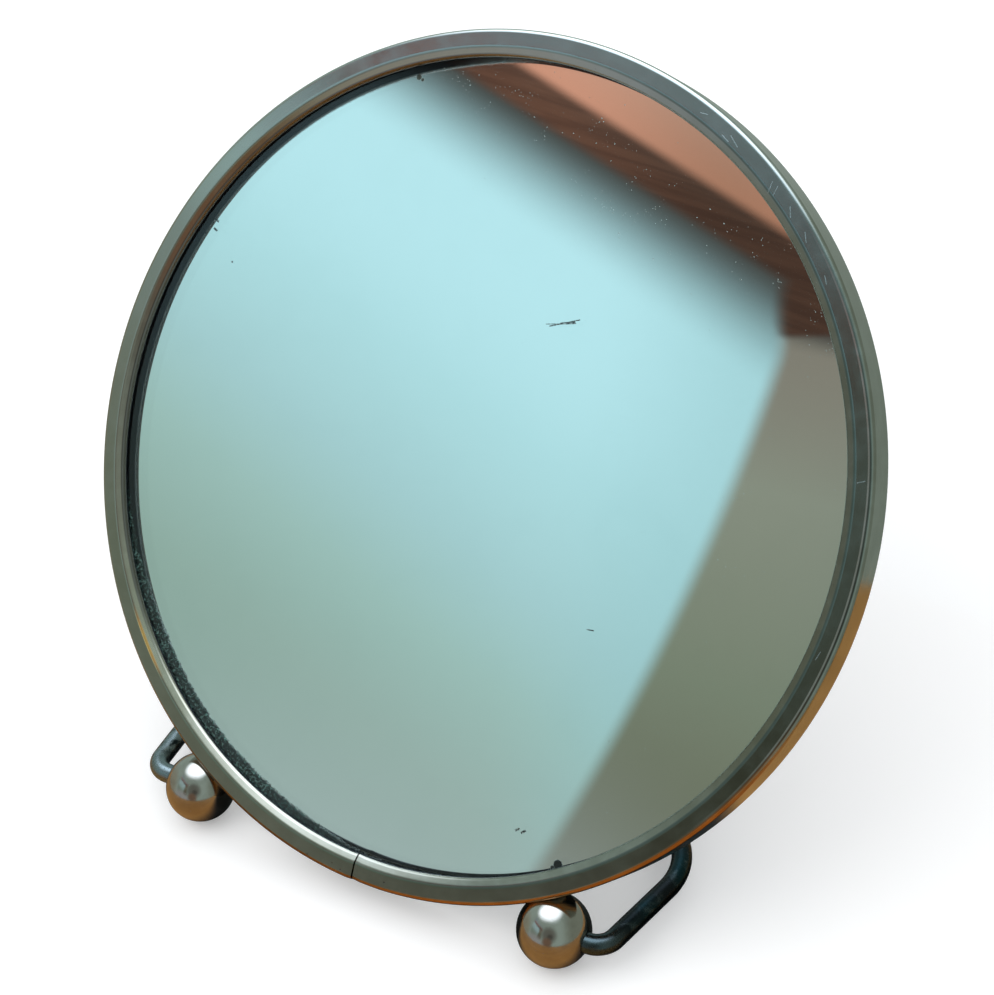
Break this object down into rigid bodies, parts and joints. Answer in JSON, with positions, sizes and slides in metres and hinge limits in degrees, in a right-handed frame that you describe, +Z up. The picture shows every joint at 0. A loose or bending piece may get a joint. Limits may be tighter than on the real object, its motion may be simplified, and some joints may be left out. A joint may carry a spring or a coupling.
{
  "type": "table mirror",
  "caption": "Round table mirror in a rolled metal rim, leaning back on two ball feet and a bent-bar stand that is hinged in the balls.",
  "frame": {"origin": "on the table, below the middle of the line through the two ball centres, which is the tilt axis", "axes": "+Z up, +X to the right as seen from the front, the glass faces -Y and the stand runs back along +Y"},
  "size_m": [0.24, 0.1513, 0.2027],
  "materials": {
    "rim_metal": "aged bright plating, fine scratches",
    "ball_chrome": "polished plating",
    "bail_chrome": "worn dark plating",
    "glass": "clear plate, ground edge",
    "silver": "silvered, corroded at the edge",
    "packing_felt": "thin grey felt",
    "board": "pressed board",
    "plate_lacquer": "worn black lacquer on sheet steel",
    "shim_cork": "cork",
    "strap_brass": "plain",
    "screw_steel": "turned",
    "plug_fibre": "vulcanised fibre"
  },
  "bodies": {
    "stand": {"stand_bail": "bail_chrome"},
    "mirror_head": {"rim": "rim_metal", "seam_strap": "strap_brass", "seam_screws": "screw_steel", "mirror_glass": "glass", "silver_coat": "silver", "packing_sheet": "packing_felt", "backing_board": "board", "back_plate": "plate_lacquer", "edge_shims": "shim_cork", "ball_feet": "ball_chrome", "foot_screws": "screw_steel", "friction_plug_left": "plug_fibre", "friction_plug_right": "plug_fibre"}
  },
  "joints": [
    {"name": "mirror_tilt", "type": "hinge", "parent": "stand", "child": "mirror_head", "pos_m": [0, 0, 0.0103], "axis": [1, 0, 0], "range_deg": [-38, 36]}
  ]
}
